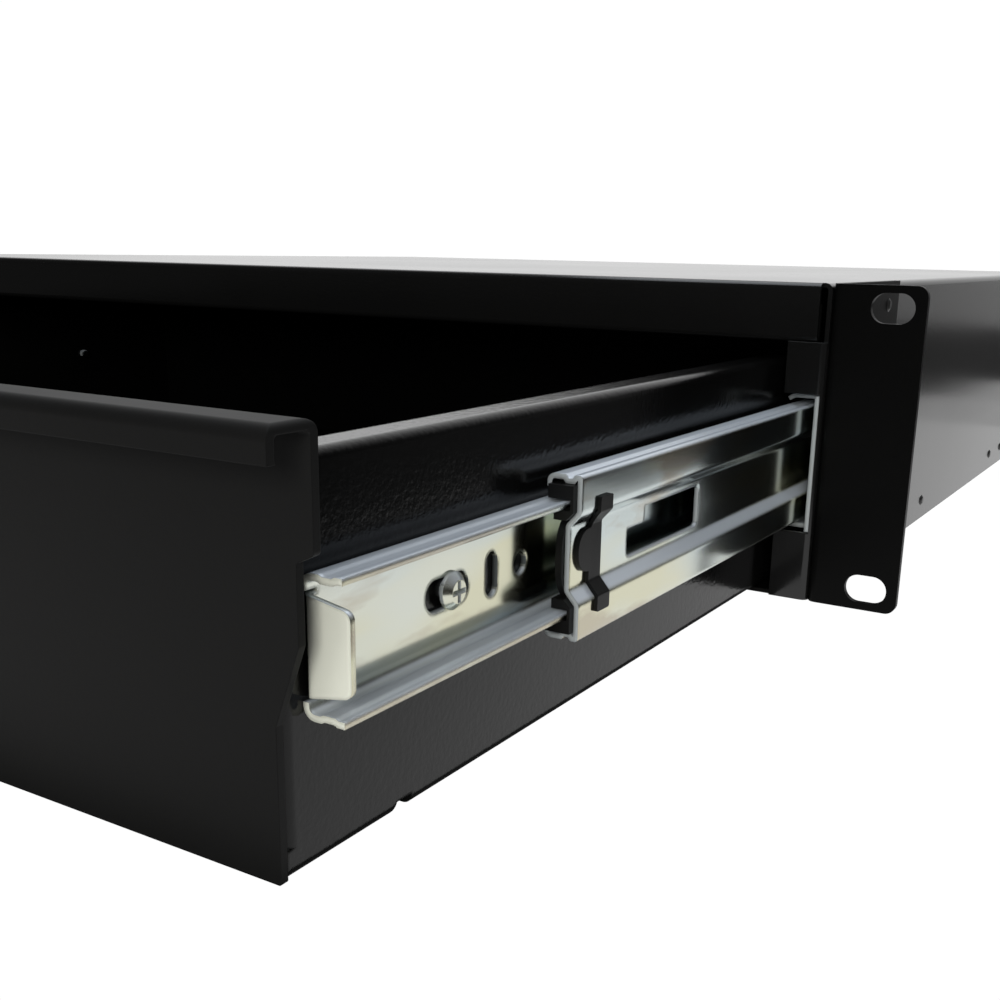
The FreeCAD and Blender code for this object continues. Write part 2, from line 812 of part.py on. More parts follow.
def inner_openings():
    low_x = across(size("slide_space") + EXTRA)
    width = size("inner_sheet") + EXTRA * 2
    tools = []
    half = size("adjusting_slot_height") / 2
    for index, y in enumerate(screw_places(INNER_FRONT)):
        tools.append(block(f"adjusting_slot_{index}", "YZ", low_x, width, obround(
            y - size("adjusting_slot_front"), y + size("adjusting_slot_rear"),
            SLIDE_UP - half, SLIDE_UP + half, half - ROUND_END)))
    first = screw_places(INNER_FRONT)[0]
    upright = first + size("upright_slot_offset")
    tall = size("upright_slot_height") / 2
    tools.append(block("upright_slot", "YZ", low_x, width, obround(
        upright, upright + size("upright_slot_width"),
        SLIDE_UP - tall, SLIDE_UP + tall, size("upright_slot_width") / 2 - ROUND_END)))
    tools.append(rod_across("round_hole", first + size("round_hole_offset"), SLIDE_UP,
                            size("round_hole_radius"), low_x, low_x + width))
    return tools


# --- balls and cages --------------------------------------------------------------------------


def ball_places(front, length):
    pitch = (length - size("cage_margin") * 2) / (ROW_BALLS - 1)
    return [front + size("cage_margin") + pitch * i for i in range(ROW_BALLS)]


def make_balls(name, front, length, radius, inward, off):
    x = across(inward)
    balls = []
    for row_name, up in (("top", SLIDE_UP + off), ("low", SLIDE_UP - off)):
        for index, y in enumerate(ball_places(front, length)):
            ball = doc.addObject("Part::Sphere", f"{name}_{row_name}_{index}")
            bind(ball, Radius=radius)
            bind_place(ball, x=x, y=y, z=up)
            balls.append(ball)
    return group(name, balls)


def make_cage(name, front, length, path, thickness, radius, inward, off):
    """A thin strip bent round between two members, with a hole for each ball."""
    blank = strip(f"{name}_strip", "XZ", front, length, section(*both_ways(path)), thickness)
    holes = []
    for index, y in enumerate(ball_places(front, length)):
        hole = doc.addObject("Part::Cylinder", f"{name}_hole_{index}")
        bind(hole, Radius=radius + size("ball_play"), Height=off * 2 + 6)
        bind_place(hole, x=across(inward), y=y, z=SLIDE_UP - off - 3)
        holes.append(hole)
    return cut(name, blank, *holes)


def make_outer_cage():
    front = size("outer_cage_closed") - size("middle_pull") / 2
    leg = HALF_SLIDE - size("outer_sheet") - 0.65
    face = size("outer_sheet") + 0.5
    path = [
        (size("middle_web") - 1.3, size("web_edge") + 0.2, 0.8),
        (face, size("band_edge") + 0.2, 0.8),
        (face, leg, 0.8),
        (size("outer_reach") - 1.6, leg),
    ]
    length = size("outer_cage_length")
    radius = size("outer_ball_radius")
    cage = make_cage("outer_cage", front, length, path, size("outer_cage_sheet"),
                     radius, TRACK_IN, OUTER_BALL_OFF)
    balls = make_balls("outer_balls", front, length, radius, TRACK_IN, OUTER_BALL_OFF)
    return cage, balls


def make_inner_cage():
    front = MIDDLE_FRONT + size("inner_cage_closed") - (size("drawer_pull") - size("middle_pull")) / 2
    leg = HALF_MIDDLE - size("track_depth") - size("middle_sheet") - 0.9
    face = size("middle_band") + size("middle_sheet") + 0.35
    path = [
        (size("middle_web") + size("middle_sheet") + 0.35, size("web_edge") + 0.5, 0.6),
        (face, size("band_edge") + 0.55, 0.6),
        (face, leg, 0.8),
        (size("middle_reach") - size("middle_sheet") - 0.4, leg),
    ]
    length = size("inner_cage_length")
    radius = size("inner_ball_radius")
    cage = make_cage("inner_cage", front, length, path, size("inner_cage_sheet"),
                     radius, INNER_TRACK_IN, INNER_BALL_OFF)
    balls = make_balls("inner_balls", front, length, radius, INNER_TRACK_IN, INNER_BALL_OFF)
    return cage, balls


# --- end clip: plastic guides, bumper and outside lever on the middle member --------------------


def make_clip():
    front = MIDDLE_FRONT + 0.3
    depth = size("clip_depth")
    sheet_in = size("middle_band") + size("middle_sheet")
    web_in = size("middle_web") + size("middle_sheet")
    tip = size("slide_space") - size("inner_reach")
    play = size("clip_play")
    roof = HALF_MIDDLE - size("track_depth") - size("middle_sheet") - 0.1
    above = HALF_INNER + play
    below = HALF_INNER - size("inner_sheet") - size("inner_track") - play
    guide_in = size("middle_reach") - size("middle_sheet") - 0.1
    floor = size("web_edge") + 1.5
    loop = [
        (sheet_in + 0.05, roof),
        (sheet_in + 0.05, size("band_edge") + 0.4),
        (web_in - 0.8, floor),
        (web_in + 1.8, floor),
        (web_in + 1.8, below),
        (tip - play, below),
        (tip - play, above),
        (guide_in, above),
        (guide_in, roof),
    ]
    nose = size("clip_nose") + 0.3
    top = block("guide_top", "XZ", front - nose, depth + nose, section(*loop))
    low = block("guide_low", "XZ", front - nose, depth + nose, section(*[(c[0], -c[1]) for c in loop]))
    bridge = block("guide_bridge", "XZ", front + 2, depth - 2, section(
        (web_in + 0.05, floor), (web_in + 0.05, -floor), (web_in + 0.9, -floor), (web_in + 0.9, floor)))
    return fuse("clip", top, low, bridge, make_bumper(front), make_lever(front))


def make_bumper(front):
    """A bowed strip across the mouth that cushions the drawer member's tab."""
    chord = size("web_edge") + 2.0
    bow = size("bumper_bow")
    sheet_size = size("bumper_sheet")
    low_x = across(size("middle_web") + size("middle_sheet") + size("bumper_width") + 0.05)
    return strip("bumper", "YZ", low_x, size("bumper_width"), [
        (front + 1.2, SLIDE_UP + chord),
        (MIDDLE_FRONT - bow, SLIDE_UP + chord * 0.55, 7.0),
        (MIDDLE_FRONT - bow, SLIDE_UP - chord * 0.55, 7.0),
        (front + 1.2, SLIDE_UP - chord),
    ], sheet_size)


def make_lever(front):
    """The lever-like plate outside, which follows the bands and the web, and its neck."""
    out = size("clip_lever")
    path = both_ways([
        (size("middle_web") - out, size("web_edge") - 0.5, 0.8),
        (size("middle_band") - out, size("band_edge") - 0.5, 0.6),
        (size("middle_band") - out, Size.of(11.6)),
    ])
    skin = strip("lever_skin", "XZ", front, 16, section(*path), out)
    back = front + 11.3
    outline = block("lever_outline", "YZ", across(size("middle_web") + 1.5), 6, [
        (back - 5.0, SLIDE_UP + 11.3, 0.5),
        (back - 5.2, SLIDE_UP + 7.8, 1.0),
        (back - 3.7, SLIDE_UP + 5.6, 0.4),
        (back - 4.6, SLIDE_UP + 5.0, 0.3),
        (back - 9.3, SLIDE_UP + 5.0, 4.0),
        (back - 9.3, SLIDE_UP - 3.6, 4.0),
        (back - 4.9, SLIDE_UP - 3.6, 0.3),
        (back - 5.2, SLIDE_UP - 11.6, 0.5),
        (back, SLIDE_UP - 11.6, 0.5),
        (back, SLIDE_UP + 11.3, 0.5),
    ])
    lever = common("lever", skin, outline)
    low_x = across(size("middle_web") + size("middle_sheet") + 0.5)
    half_neck = size("neck_height") / 2
    neck = box("lever_neck", (low_x, NECK_FRONT, SLIDE_UP - half_neck),
               (across(size("middle_web") - 0.5), NECK_FRONT + size("neck_length"), SLIDE_UP + half_neck))
    return fuse("lever_and_neck", lever, neck)


# --- drawer -----------------------------------------------------------------------------------


def make_tray():
    corner = size("drawer_bend") + size("drawer_sheet")
    flange_tip = SIDE - size("side_flange")
    trough = strip("tray_trough", "XZ", PANEL_BACK, DRAWER_LENGTH, [
        (-flange_tip, DRAWER_TOP),
        (-SIDE, DRAWER_TOP, corner),
        (-SIDE, DRAWER_BOTTOM, corner),
        (SIDE, DRAWER_BOTTOM, corner),
        (SIDE, DRAWER_TOP, corner),
        (flange_tip, DRAWER_TOP),
    ], size("drawer_sheet"))
    back = block("tray_back", "XZ", DRAWER_REAR - size("drawer_sheet"), size("drawer_sheet"), [
        (-SIDE, DRAWER_BOTTOM, corner),
        (SIDE, DRAWER_BOTTOM, corner),
        (SIDE, DRAWER_TOP, corner),
        (-SIDE, DRAWER_TOP, corner),
    ])
    margin = size("front_flange_margin")
    low, high = DRAWER_BOTTOM + margin, DRAWER_TOP - margin
    room = box("fold_room", (SIDE - size("drawer_sheet") - 0.5, PANEL_BACK - EXTRA, low),
               (SIDE + EXTRA, PANEL_BACK + corner, high))
    rooms = [room, mirrored("fold_room_left", room)]
    fold = strip("tray_fold", "XY", low, high - low, [
        (SIDE - size("front_flange"), PANEL_BACK),
        (SIDE, PANEL_BACK, corner),
        (SIDE, PANEL_BACK + corner + EXTRA),
    ], size("drawer_sheet"))
    folds = [fold, mirrored("tray_fold_left", fold)]
    blank = fuse("tray_blank", cut("tray_open", fuse("tray_box", trough, back), *rooms), *folds)
    return cut("tray", blank, *tray_openings())


def tray_openings():
    start = PANEL_BACK + size("notch_setback")
    end = start + size("notch_length")
    notch = block("relief_notch", "YZ", SIDE - 4, 5, [
        (start, DRAWER_BOTTOM - EXTRA),
        (end, DRAWER_BOTTOM - EXTRA),
        (end, DRAWER_BOTTOM + size("notch_height")),
        (start + 1.8, DRAWER_BOTTOM + size("notch_height")),
    ])
    tools = [notch, mirrored("relief_notch_left", notch)]
    for index, y in enumerate(screw_places(INNER_FRONT)):
        tools.append(rod_across(f"tray_hole_{index}", y, SLIDE_UP, size("screw_radius"),
                                -SIDE - EXTRA, SIDE + EXTRA))
    return tools


def make_front():
    corner = size("panel_bend") + size("panel_sheet")
    lip_front = PANEL_BACK - size("lip_reach")
    wing = SIDE + size("panel_wing")
    fold = strip("front_fold", "YZ", -wing - EXTRA, (wing + EXTRA) * 2, [
        (PANEL_BACK, DRAWER_BOTTOM - EXTRA),
        (PANEL_BACK, PANEL_TOP, corner),
        (lip_front, PANEL_TOP, corner),
        (lip_front, PANEL_TOP - size("lip_drop")),
    ], size("panel_sheet"))
    step = wing - size("wing_step")
    low = DRAWER_BOTTOM + size("wing_low")
    top_part = PANEL_TOP - size("wing_top_part")
    right = [
        (SIDE, DRAWER_BOTTOM, 0.5),
        (SIDE, low - size("wing_slant")),
        (step, low, 0.8),
        (step, top_part - 1.5),
        (wing, top_part, 0.8),
        (wing, PANEL_TOP, 1.2),
    ]
    left = [(-c[0], *c[1:]) for c in reversed(right)]
    outline = block("front_outline", "XZ", lip_front - EXTRA, size("lip_reach") + EXTRA * 2, right + left)
    return common("front", fold, outline)


# --- fasteners ----------------------------------------------------------------------------------


def make_screw(name, length):
    """A pan-head screw along X, head towards +X, with its seat at the origin."""
    head = size("screw_head_radius")
    height = size("screw_head_height")
    shank = size("screw_radius") - 0.05
    sketch = doc.addObject("Sketcher::SketchObject", f"{name}_sketch")
    draw(sketch, [
        (-length, 0),
        (-length, shank - 0.4),
        (0.4 - length, shank),
        (0, shank),
        (0, head),
        (height * 0.35, head),
        (height, head * 0.62),
        (height, 0),
    ], True)
    turned = doc.addObject("Part::Revolution", f"{name}_turned")
    turned.Source = sketch
    turned.Axis = FreeCAD.Vector(1, 0, 0)
    turned.Angle = 360
    turned.Solid = True
    depth = height * 0.6
    arm, web = 1.9, 0.42
    upright = box(f"{name}_recess_up", (height - depth, Size.of(-web), Size.of(-arm)),
                  (height + EXTRA, Size.of(web), Size.of(arm)))
    level = box(f"{name}_recess_level", (height - depth, Size.of(-arm), Size.of(-web)),
                (height + EXTRA, Size.of(arm), Size.of(web)))
    return cut(name, turned, upright, level)


def make_rivet(name, grip):
    """A rivet along X, head towards +X, with the head's seat at the origin."""
    head = size("rivet_head_radius")
    height = size("rivet_head_height")
    shank = size("rivet_radius") - 0.05
    end = -(grip + size("rivet_tail"))
    sketch = doc.addObject("Sketcher::SketchObject", f"{name}_sketch")
    draw(sketch, [
        (end, 0),
        (end, shank),
        (0, shank),
        (0, head),
        (height, head * 0.55),
        (height, 0),
    ], True)
    turned = doc.addObject("Part::Revolution", name)
    turned.Source = sketch
    turned.Axis = FreeCAD.Vector(1, 0, 0)
    turned.Angle = 360
    turned.Solid = True
    return turned


def make_fasteners():
    wall = size("chassis_sheet")
    slide_screw = make_screw("slide_screw", size("screw_bite") + size("outer_sheet"))
    drawer_screw = make_screw("drawer_screw", size("drawer_sheet") + size("inner_sheet") + 2)
    lone_rivet = make_rivet("wall_rivet", wall * 2)
    ear_grip = size("ear_sheet") + wall
    high_rivet = make_rivet("ear_rivet_thin", ear_grip)
    low_rivet = make_rivet("ear_rivet_thick", ear_grip + wall)
    outer_screws, inner_screws, shell_rivets, ear_rivets = [], [], [], []
    seat = across(size("outer_sheet"))
    inner_seat = SIDE + size("inner_sheet")
    ear_seat = HALF + size("ear_sheet")
    for side_name, sign in (("right", 1), ("left", -1)):
        left = sign < 0
        for index, y in enumerate(screw_places(OUTER_FRONT)):
            outer_screws.append(copy_at(f"outer_screw_{side_name}_{index}", slide_screw,
                                        seat * sign, y, SLIDE_UP, not left))
        for index, y in enumerate(screw_places(INNER_FRONT)):
            inner_screws.append(copy_at(f"inner_screw_{side_name}_{index}", drawer_screw,
                                        inner_seat * sign, y, SLIDE_UP, left))
        for alias in RIVET_ROW:
            shell_rivets.append(copy_at(f"{alias}_{side_name}", lone_rivet,
                                        HALF * sign, size(alias), RIVET_LINE, left))
        for index, (y, z) in enumerate(rear_rivet_places()):
            shell_rivets.append(copy_at(f"rear_rivet_{side_name}_{index}", lone_rivet,
                                        HALF * sign, y, z, left))
        for alias in EAR_ROW:
            ear_rivets.append(copy_at(f"{alias}_high_{side_name}", high_rivet,
                                      ear_seat * sign, size(alias), -RIVET_LINE, left))
            ear_rivets.append(copy_at(f"{alias}_low_{side_name}", low_rivet,
                                      ear_seat * sign, size(alias), RIVET_LINE, left))
    node("outer_slide_screws", group("outer_screws", outer_screws))
    node("inner_slide_screws", group("inner_screws", inner_screws))
    node("shell_rivets", group("rivets_of_shell", shell_rivets))
    node("ear_rivets", group("rivets_of_ears", ear_rivets))


# --- the whole drawer -----------------------------------------------------------------------------


def make_pair(name, right):
    node(f"{name}_right", right)
    node(f"{name}_left", mirrored(f"{name}_other", right))


node("chassis_shell", make_shell())
node("chassis_bottom", make_bottom())
node("chassis_rear", make_rear())
ear_right, ear_left = make_ears()
node("rack_ear_right", ear_right)
node("rack_ear_left", ear_left)
make_pair("outer_slide", make_outer())
make_pair("middle_slide", make_middle())
make_pair("end_clip", make_clip())
make_pair("inner_slide", make_inner())
outer_cage, outer_balls = make_outer_cage()
make_pair("outer_ball_cage", outer_cage)
make_pair("outer_balls", outer_balls)
inner_cage, inner_balls = make_inner_cage()
make_pair("inner_ball_cage", inner_cage)
make_pair("inner_balls", inner_balls)
node("drawer_tray", make_tray())
node("drawer_front", make_front())
make_fasteners()
doc.recompute()

for thing in doc.Objects:
    if "Invalid" in thing.State or "Error" in thing.State:
        raise RuntimeError(f"{thing.Name} failed: {thing.State}")
os.makedirs("parts", exist_ok=True)
for name, thing in NODES.items():
    shape = thing.Shape
    if shape.isNull() or not shape.isValid() or not shape.Solids:
        raise RuntimeError(f"{name} has no valid solid")
for name, thing in NODES.items():
    thing.Shape.exportStep(f"parts/{name}.step")
    low = thing.Shape.BoundBox
    print(f"{name:22s} solids {len(thing.Shape.Solids):3d}  volume {thing.Shape.Volume:10.1f}"
          f"  x {low.XMin:8.2f} {low.XMax:8.2f}  y {low.YMin:8.2f} {low.YMax:8.2f}"
          f"  z {low.ZMin:7.2f} {low.ZMax:7.2f}")
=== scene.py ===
import json
import math

import bpy
from mathutils import Matrix, Vector


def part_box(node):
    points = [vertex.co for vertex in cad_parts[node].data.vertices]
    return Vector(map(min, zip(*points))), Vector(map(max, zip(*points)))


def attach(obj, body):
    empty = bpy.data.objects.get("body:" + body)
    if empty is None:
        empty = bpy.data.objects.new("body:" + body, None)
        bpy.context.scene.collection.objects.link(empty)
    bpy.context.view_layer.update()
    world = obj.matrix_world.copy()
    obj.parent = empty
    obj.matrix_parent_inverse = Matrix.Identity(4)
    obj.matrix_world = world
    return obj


# The sliding rack drawer in a white studio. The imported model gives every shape. This script adds
# the finishes, the front edges of the outer slide members' webs, a floor, reflection cards, soft
# light and the camera. Lengths are in metres.

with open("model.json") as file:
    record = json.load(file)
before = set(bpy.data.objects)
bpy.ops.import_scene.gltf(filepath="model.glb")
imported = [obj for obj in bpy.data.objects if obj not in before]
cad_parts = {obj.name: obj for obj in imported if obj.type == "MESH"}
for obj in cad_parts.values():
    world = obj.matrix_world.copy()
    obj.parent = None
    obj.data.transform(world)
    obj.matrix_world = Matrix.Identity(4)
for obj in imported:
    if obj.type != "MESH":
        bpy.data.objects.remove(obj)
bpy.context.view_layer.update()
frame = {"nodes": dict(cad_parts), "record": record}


def corners_of(node):
    """The low and the high corner of a node's box."""
    return [Vector(corner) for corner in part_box(node)]


MM = 0.001
chassis_low, chassis_high = corners_of("chassis_shell")
tray_low, tray_high = corners_of("drawer_tray")
FLOOR = chassis_low.z
INNER_FRONT = corners_of("inner_slide_right")[0].y


# --- finishes -------------------------------------------------------------------------------------


def gray(level):
    return (level, level, level, 1)


SILVER = (0.74, 0.77, 0.70, 1)
YELLOW = (0.74, 0.73, 0.55, 1)
BLUE = (0.66, 0.74, 0.75, 1)
BROWN = (0.52, 0.46, 0.36, 1)
# Painted sheen: the bluish overhead light that faces looking up reflect.
PAINTED_SHEEN_BLUE = (0.70, 0.76, 0.84, 1)
# Painted light on the lit front end of the inner member.
PAINTED_LIGHT_CREAM = (0.86, 0.87, 0.76, 1)
SHEARED = (0.42, 0.45, 0.46, 1)
# Painted shade in the inner member's holes and on its faces along Y.
PAINTED_HOLE_SHADE = (0.10, 0.11, 0.11, 1)
BALL_DARK = (0.60, 0.60, 0.61, 1)
BALL_PALE = (0.72, 0.72, 0.72, 1)

BEVEL_SAMPLES = 6
MIX_SOCKETS = (0, 6, 7)  # of a Mix node for colours: the amount, one colour, the other


class Tree:
    """Short ways to add and join the shader nodes of a material or a world."""

    def __init__(self, owner, output):
        owner.use_nodes = True
        self.owner = owner
        self.output = output
        self.tree = owner.node_tree
        self.tree.nodes.clear()
        self.place = self.add("ShaderNodeTexCoord").outputs

    def add(self, kind, inputs=(), **options):
        node = self.tree.nodes.new(kind)
        for key, value in options.items():
            setattr(node, key, value)
        for key, value in dict(inputs).items():
            self.put(node.inputs[key], value)
        return node

    def put(self, socket, value):
        if isinstance(value, bpy.types.NodeSocket):
            self.tree.links.new(value, socket)
        else:
            socket.default_value = value

    def noise(self, scale, detail=2.0, stretch=(1, 1, 1)):
        """Noise over the object: scale in cells per metre, finer where stretch is larger."""
        spread = self.add("ShaderNodeMapping", {"Vector": self.place["Object"], "Scale": stretch})
        return self.add("ShaderNodeTexNoise", {
            "Vector": spread.outputs[0], "Scale": scale, "Detail": detail}).outputs["Fac"]

    def between(self, amount, low, high, start=0.3, end=0.7):
        """low to high, as an amount goes from start to end. Noise seldom leaves 0.3 to 0.7."""
        return self.add("ShaderNodeMapRange", {
            "Value": amount, "From Min": start, "From Max": end,
            "To Min": low, "To Max": high}).outputs[0]

    def masked(self, mask, plain, covered):
        """A number that is plain where a mask is 0 and covered where it is 1."""
        return self.between(mask, plain, covered, 0, 1)

    def blend(self, amount, one, other):
        """A colour between two."""
        node = self.add("ShaderNodeMix", data_type="RGBA")
        for socket, value in zip(MIX_SOCKETS, (amount, one, other)):
            self.put(node.inputs[socket], value)
        return node.outputs[2]

    def calculate(self, operation, *values):
        return self.add("ShaderNodeMath", dict(enumerate(values)), operation=operation).outputs[0]

    def part(self, vector, axis):
        return self.add("ShaderNodeSeparateXYZ", {0: vector}).outputs[axis]

    def facing(self, normal, axis, start, end):
        """1 where a normal looks along an axis; for Y, either way."""
        along = self.part(normal, axis)
        if axis == "Y":
            along = self.calculate("ABSOLUTE", along)
        return self.between(along, 0, 1, start, end)

    def bump(self, height, depth, strength, normal):
        return self.add("ShaderNodeBump", {
            "Height": height, "Distance": depth, "Strength": strength, "Normal": normal}).outputs[0]

    def rounded(self, radius):
        """A normal that softens the light on edges."""
        return self.add("ShaderNodeBevel", {"Radius": radius}, samples=BEVEL_SAMPLES).outputs[0]

    def glow(self, strength):
        return self.add("ShaderNodeEmission", {"Color": gray(1), "Strength": strength}).outputs[0]

    def choose(self, ray, others, these):
        """One shader for the rays of a kind and another for all others."""
        rays = self.add("ShaderNodeLightPath").outputs
        return self.add("ShaderNodeMixShader", {0: rays[ray], 1: others, 2: these}).outputs[0]

    def finish(self, shader):
        self.add(self.output, {0: shader})
        return self.owner

    def surface(self, **inputs):
        names = {key.replace("_", " "): value for key, value in inputs.items()}
        return self.finish(self.add("ShaderNodeBsdfPrincipled", names).outputs[0])


def new_material(name):
    return Tree(bpy.data.materials.new(name), "ShaderNodeOutputMaterial")


def powder(name, level, rough, specular, depth, grain=900, edge=0.3):
    """Black powder coat, a little uneven, with an orange peel. Its depth and edge are in mm."""
    t = new_material(name)
    cloud = t.noise(scale=9, detail=3)
    colour = t.blend(t.between(cloud, 0, 1), gray(level * 0.85), gray(level * 1.15))
    normal = t.bump(t.noise(grain), depth * MM, 0.6, t.rounded(edge * MM))
    return t.surface(Base_Color=colour, Roughness=t.between(cloud, rough * 0.92, rough * 1.1),
                     Specular_IOR_Level=specular, Normal=normal)


# The tints that passivation leaves on zinc: colour, noise scale, detail and stretch, the largest
# share of the tint, and the noise at which it starts and is full.
TINTS = (
    (YELLOW, 26, 3, (1, 0.35, 1), 1.0, 0.44, 0.56),
    (BLUE, 41, 2, (1, 0.3, 1.3), 0.9, 0.48, 0.60),
    (BROWN, 44, 5, (1, 0.4, 1.4), 0.7, 0.55, 0.62),
)
# How far a normal must turn to an axis to begin to count, and to count in full, as an end face or
# as a face that looks up, and how metallic and rough those faces are.
END_TURN, END_METAL, END_ROUGH = (0.80, 0.95), 0.32, 0.45
UP_TURN, UP_METAL, UP_ROUGH = (0.20, 0.65), 0.42, 0.26
# Painted light on the inner member's front end fades out between these places along Y.
PAINTED_LIGHT_END = (INNER_FRONT + 8 * MM, INNER_FRONT + 9 * MM)
ROLLING_LINES = {"scale": 420, "detail": 2, "stretch": (1, 0.02, 1)}
SMEARS = {"scale": 60, "detail": 3, "stretch": (1, 0.25, 1)}
LINE_DEPTH, LINE_STRENGTH = 0.012 * MM, 0.5
SMEAR_DEPTH, SMEAR_STRENGTH = 0.25 * MM, 0.12


def zinc(name, rough, raw_end_or_painted_shade, grain=1.0, edge=1.2):
    """Zinc plate with passivation tints and fine rolling lines along the member.

    Faces that look along Y are dull: pale with painted light at the inner member's front end, and
    behind it in the colour given for ends, which is painted shade on the inner member.
    Bends and flanges that look up get a painted bluish sheen, and are softer than the webs.
    """
    t = new_material(name)
    round_edge = t.rounded(edge * MM)
    ends = t.facing(t.add("ShaderNodeNewGeometry").outputs["Normal"], "Y", *END_TURN)
    up = t.facing(round_edge, "Z", *UP_TURN)

    colour = SILVER
    for tint, scale, detail, stretch, most, start, full in TINTS:
        share = t.between(t.noise(scale, detail, stretch), 0, most, start, full)
        colour = t.blend(share, colour, tint)
    # Painted sheen: faces that look up are tinted blue, as the bluish overhead light would show on
    # them.
    colour = t.blend(up, colour, PAINTED_SHEEN_BLUE)
    at_front = t.between(t.part(t.place["Object"], "Y"), 1, 0, *PAINTED_LIGHT_END)
    # Faces along Y: a pale cream of painted light at the inner member's front end; behind it the
    # colour given for ends, which on the inner member is painted shade.
    colour = t.blend(ends, colour, t.blend(at_front, raw_end_or_painted_shade, PAINTED_LIGHT_CREAM))

    lines = t.noise(**ROLLING_LINES)
    smear = t.noise(**SMEARS)
    normal = t.bump(lines, LINE_DEPTH, LINE_STRENGTH * grain, round_edge)
    normal = t.bump(smear, SMEAR_DEPTH, SMEAR_STRENGTH * grain, normal)

    metal = t.calculate("MINIMUM", t.masked(ends, 1.0, END_METAL), t.masked(up, 1.0, UP_METAL))
    dull = t.calculate("MAXIMUM", t.masked(ends, 0, END_ROUGH), t.masked(up, 0, UP_ROUGH))
    roughness = t.calculate("MAXIMUM", t.between(smear, rough * 0.8, rough * 1.3), dull)
    return t.surface(Base_Color=colour, Metallic=metal, Roughness=roughness, Normal=normal)


def plastic(name, level, rough):
    """Moulded black plastic with a fine grain."""
    t = new_material(name)
    cloud = t.noise(120)
    colour = t.blend(cloud, gray(level * 0.8), gray(level * 1.2))
    normal = t.bump(t.noise(1500), 0.02 * MM, 0.5, t.rounded(0.2 * MM))
    return t.surface(Base_Color=colour, Roughness=t.between(cloud, rough * 0.9, rough * 1.1),
                     Specular_IOR_Level=0.15, Normal=normal)


def polished(name):
    """Ground steel, for the bearing balls."""
    t = new_material(name)
    cloud = t.noise(300)
    return t.surface(Base_Color=t.blend(cloud, BALL_DARK, BALL_PALE), Metallic=1.0,
                     Roughness=t.between(cloud, 0.10, 0.18))


FINISHES = {
    "chassis_paint": powder("chassis_powder", 0.005, rough=0.16, specular=0.50, depth=0.02),
    "ear_paint": powder("ear_powder", 0.003, rough=0.36, specular=0.05, depth=0.04),
    "drawer_paint": powder("drawer_powder", 0.003, rough=0.15, specular=0.27, depth=0.08,
                           grain=1000, edge=0.8),
    "front_paint": powder("front_powder", 0.009, rough=0.50, specular=0.08, depth=0.03),
    "rivet_paint": powder("rivet_black", 0.02, rough=0.35, specular=0.40, depth=0.02),
    "outer_zinc": zinc("outer_plate", 0.20, SHEARED),
    "middle_zinc": zinc("middle_plate", 0.13, SHEARED),
    # Painted shade: the inner member's faces along Y are near black, for the shade in its holes.
    "inner_zinc": zinc("inner_plate", 0.13, PAINTED_HOLE_SHADE),
    "cage_zinc": zinc("cage_plate", 0.26, SHEARED),
    "screw_zinc": zinc("screw_plate", 0.20, SHEARED, grain=0.3, edge=0.25),
    "ball_steel": polished("ball_finish"),
    "clip_plastic": plastic("clip_black", 0.006, rough=0.38),
}

for part in frame["record"]["subparts"]:
    shown = frame["nodes"][part["node"]]
    shown.data.materials.clear()
    shown.data.materials.append(FINISHES[part["material_slot"]])


# --- front edges of the outer members' webs -------------------------------------------------------

WEB_SHEET = 1.2 * MM
EDGE_SETBACK = 0.2 * MM


def mesh_object(name, corners, faces, material):
    mesh = bpy.data.meshes.new(name)
    mesh.from_pydata(corners, [], faces)
    mesh.materials.append(material)
    thing = bpy.data.objects.new(name, mesh)
    bpy.context.scene.collection.objects.link(thing)
    return thing


def bar(name, low, high, slot, body):
    """A square-edged strip between two corners, riding on a body."""
    corners = [(x, y, z) for x in (low.x, high.x) for y in (low.y, high.y) for z in (low.z, high.z)]
    faces = [(0, 1, 3, 2), (4, 6, 7, 5), (0, 4, 5, 1), (2, 3, 7, 6), (0, 2, 6, 4), (1, 5, 7, 3)]
    thing = mesh_object(name, corners, faces, FINISHES[slot])
    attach(thing, body)


# The webs reach the chassis front, where their sheared edge shows in the window.
for side, sign in (("right", 1), ("left", -1)):
    low, high = corners_of(f"outer_slide_{side}")
    wall = high.x if sign > 0 else low.x
    x_low, x_high = sorted((wall, wall - sign * WEB_SHEET))
    bar(f"outer_web_edge_{side}", Vector((x_low, chassis_low.y + EDGE_SETBACK, low.z)),
        Vector((x_high, low.y, high.z)), "outer_zinc", "chassis")


# --- floor and reflection cards -------------------------------------------------------------------

BACKGROUND = 1.02
TABLE_LOW, TABLE_HIGH, TABLE_SHINE = 0.62, 0.66, 0.05
FLOOR_HALF = 6
FLOOR_DROP = 0.2 * MM
CARD_LIFT = 0.1 * MM
SIDE_NEAR, SIDE_FAR = tray_high.x + 4 * MM, tray_high.x + 115 * MM

# White cards on the table round the drawer, which the plated steel and the gloss paint reflect:
# name, low corner, high corner and strength.
CARDS = (
    ("side_card_right", (SIDE_NEAR, -0.40), (SIDE_FAR, 0.56), 0.85),
    ("side_card_left", (-SIDE_FAR, -0.40), (-SIDE_NEAR, 0.56), 0.85),
    ("edge_card", (SIDE_FAR, -0.10), (SIDE_FAR + 30 * MM, 0.12), 0.28),
    ("front_card", (-0.35, -0.48), (tray_high.x, tray_low.y - 14 * MM), 0.75),
    ("back_card", (-0.30, chassis_high.y + 20 * MM), (0.30, chassis_high.y + 0.30), 0.60),
    ("far_card", (0.30, 1.50), (2.50, 5.00), 0.32),
)


def plane(name, low, high, z, material):
    corners = [(low[0], low[1], z), (high[0], low[1], z),
               (high[0], high[1], z), (low[0], high[1], z)]
    thing = mesh_object(name, corners, [(0, 1, 2, 3)], material)
    return thing


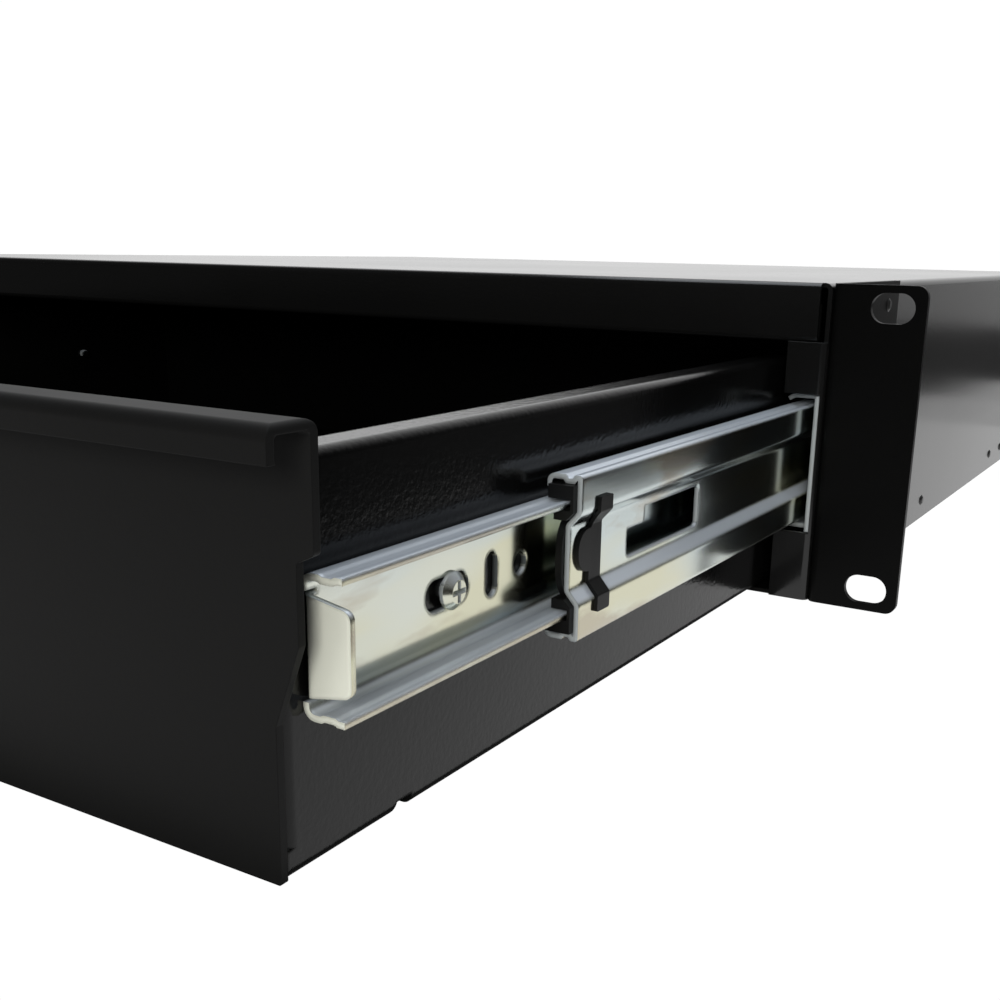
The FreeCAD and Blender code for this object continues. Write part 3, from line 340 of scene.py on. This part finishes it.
def floor_material():
    """White to the camera, a quieter pale table in reflections and for soft light."""
    t = new_material("pale_floor")
    pale = t.add("ShaderNodeBsdfDiffuse", {
        "Color": t.blend(t.noise(3), gray(TABLE_LOW), gray(TABLE_HIGH))})
    table = t.choose("Is Glossy Ray", pale.outputs[0], t.glow(TABLE_SHINE))
    return t.finish(t.choose("Is Camera Ray", table, t.glow(BACKGROUND)))


def card_material(name, strength):
    t = new_material(name)
    return t.finish(t.glow(strength))


plane("floor", (-FLOOR_HALF, -FLOOR_HALF), (FLOOR_HALF, FLOOR_HALF), FLOOR - FLOOR_DROP,
      floor_material())
for name, low, high, strength in CARDS:
    card = plane(name, low, high, FLOOR + CARD_LIFT, card_material(f"{name}_glow", strength))
    card.visible_camera = False


# --- light ----------------------------------------------------------------------------------------

# The world is white to the camera. To all else it is dim, and brightens towards one side: the
# level at each place on the ramp, where 1 looks straight to that side.
BRIGHT_SIDE = Vector((-0.45, 0.85, 0.28)).normalized()
RAMP = ((0.55, 0.035), (0.92, 1.0))


def make_world():
    t = Tree(bpy.data.worlds.new("studio"), "ShaderNodeOutputWorld")
    towards = t.add("ShaderNodeVectorMath", {0: t.place["Generated"], 1: BRIGHT_SIDE},
                    operation="DOT_PRODUCT")
    ramp = t.add("ShaderNodeValToRGB", {0: towards.outputs["Value"]})
    for stop, (position, level) in zip(ramp.color_ramp.elements, RAMP):
        stop.position = position
        stop.color = gray(level)
    around = t.add("ShaderNodeBackground", {0: ramp.outputs[0]})
    white = t.add("ShaderNodeBackground", {0: gray(1), 1: BACKGROUND})
    seen = t.choose("Is Camera Ray", around.outputs[0], white.outputs[0])
    bpy.context.scene.world = t.finish(seen)


def softbox(name, place, target, size, power, colour):
    """A square area light that looks at a target, with its power in watts."""
    light = bpy.data.lights.new(name, "AREA")
    light.shape = "RECTANGLE"
    light.size = light.size_y = size
    light.energy = power
    light.color = colour
    lamp = bpy.data.objects.new(name, light)
    lamp.location = place
    lamp.rotation_euler = (Vector(target) - Vector(place)).to_track_quat("-Z", "Y").to_euler()
    bpy.context.scene.collection.objects.link(lamp)
    return lamp


make_world()
softbox("overhead", (0.1, 0.1, 1.6), (0.1, 0, 0), size=1.6, power=20, colour=(0.90, 0.95, 1.0))
fill = softbox("front_fill", (0.75, -1.7, 0.6), (0.2, -0.2, 0), size=0.8, power=22,
               colour=(1.0, 0.99, 0.95))
fill.visible_glossy = False  # its highlight would wash out the top when seen from the rear


# --- camera ---------------------------------------------------------------------------------------

# Fitted to the photograph: lens and sensor in mm, shift as a share of the picture, nearest and
# farthest reach, place, and the turns about the upright, the sideways and the viewing axis.
LENS, SENSOR = 43.07, 36
SHIFT = (-0.01443, 0.07707)
CLIP = (0.005, 50)
EYE = (0.3146, -0.3239, 0.05155)
TURN, TILT, ROLL = (math.radians(angle) for angle in (31.14, 74.62, 1.10))


def make_camera():
    lens = bpy.data.cameras.new("camera")
    lens.lens, lens.sensor_width = LENS, SENSOR
    lens.shift_x, lens.shift_y = SHIFT
    lens.clip_start, lens.clip_end = CLIP
    eye = bpy.data.objects.new("camera", lens)
    eye.matrix_world = (Matrix.Translation(EYE)
                        @ Matrix.Rotation(TURN, 4, "Z")
                        @ Matrix.Rotation(TILT, 4, "X")
                        @ Matrix.Rotation(ROLL, 4, "Z"))
    bpy.context.scene.collection.objects.link(eye)
    bpy.context.scene.camera = eye


make_camera()
bpy.context.scene.view_settings.view_transform = "Standard"
